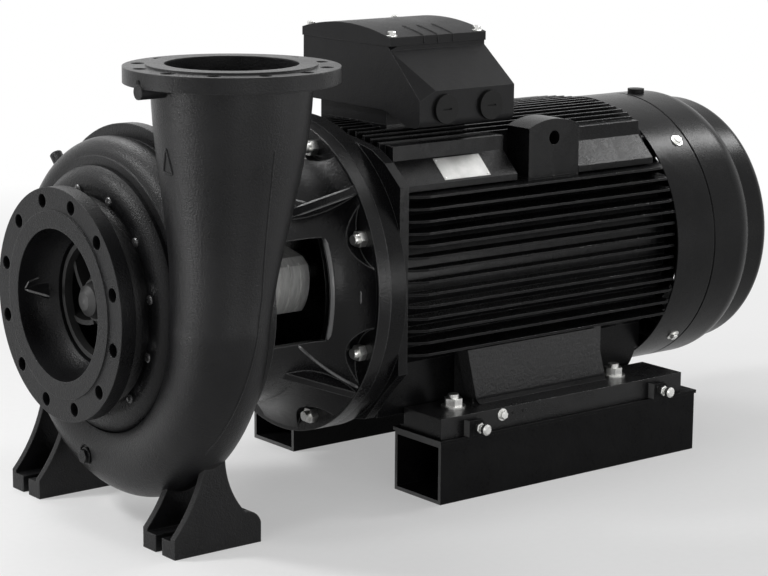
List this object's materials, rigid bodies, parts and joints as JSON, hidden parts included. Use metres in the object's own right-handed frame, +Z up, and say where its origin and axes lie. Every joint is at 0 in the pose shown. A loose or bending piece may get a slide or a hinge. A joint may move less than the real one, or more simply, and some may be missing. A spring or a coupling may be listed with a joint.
{
  "type": "close-coupled centrifugal pump with motor",
  "caption": "End-suction volute pump with side-offset upward discharge, close-coupled to a finned electric motor that stands on square support tubes.",
  "frame": {"origin": "centre of the suction flange face, on the shaft line", "axes": "+X along the shaft from the suction flange to the fan end, +Z up, -Y on the side of the discharge branch"},
  "size_m": [1.706, 0.864, 0.961],
  "materials": {
    "black_plastic": "matt moulded plastic",
    "cast_iron_dark": "dark cast iron",
    "machined_steel": "turned steel",
    "painted_casting": "satin black enamel over a fine cast surface",
    "painted_sheet": "smooth satin black enamel",
    "zinc_steel": "bright zinc"
  },
  "bodies": {
    "pump": {"bracket_nuts": "zinc_steel", "casing_cover": "painted_casting", "cowl_button": "black_plastic", "cowl_cap": "painted_sheet", "drain_plug": "painted_casting", "fan_cowl": "painted_sheet", "foot_bolts_far": "zinc_steel", "foot_bolts_near": "zinc_steel", "gland_plugs": "black_plastic", "jack_tabs_far": "painted_sheet", "jack_tabs_near": "painted_sheet", "lantern_bracket": "painted_casting", "lifting_lug_far": "painted_casting", "lifting_lug_near": "painted_casting", "motor_flange": "painted_casting", "motor_foot_far": "painted_casting", "motor_foot_near": "painted_casting", "motor_frame": "painted_casting", "nameplate": "zinc_steel", "rear_shield": "painted_casting", "suction_cover": "painted_casting", "support_tube_far": "painted_sheet", "support_tube_near": "painted_sheet", "terminal_box_body": "painted_casting", "terminal_box_lid": "painted_casting", "terminal_box_neck": "painted_casting", "top_plate_far": "painted_sheet", "top_plate_near": "painted_sheet", "volute_casing": "painted_casting"},
    "rotor": {"cooling_fan": "black_plastic", "coupling_sleeve": "machined_steel", "impeller": "cast_iron_dark", "shaft": "machined_steel"}
  },
  "joints": [
    {"name": "rotor_spin", "type": "hinge", "parent": "pump", "child": "rotor", "pos_m": [0, 0, 0], "axis": [1, 0, 0], "continuous": true}
  ]
}
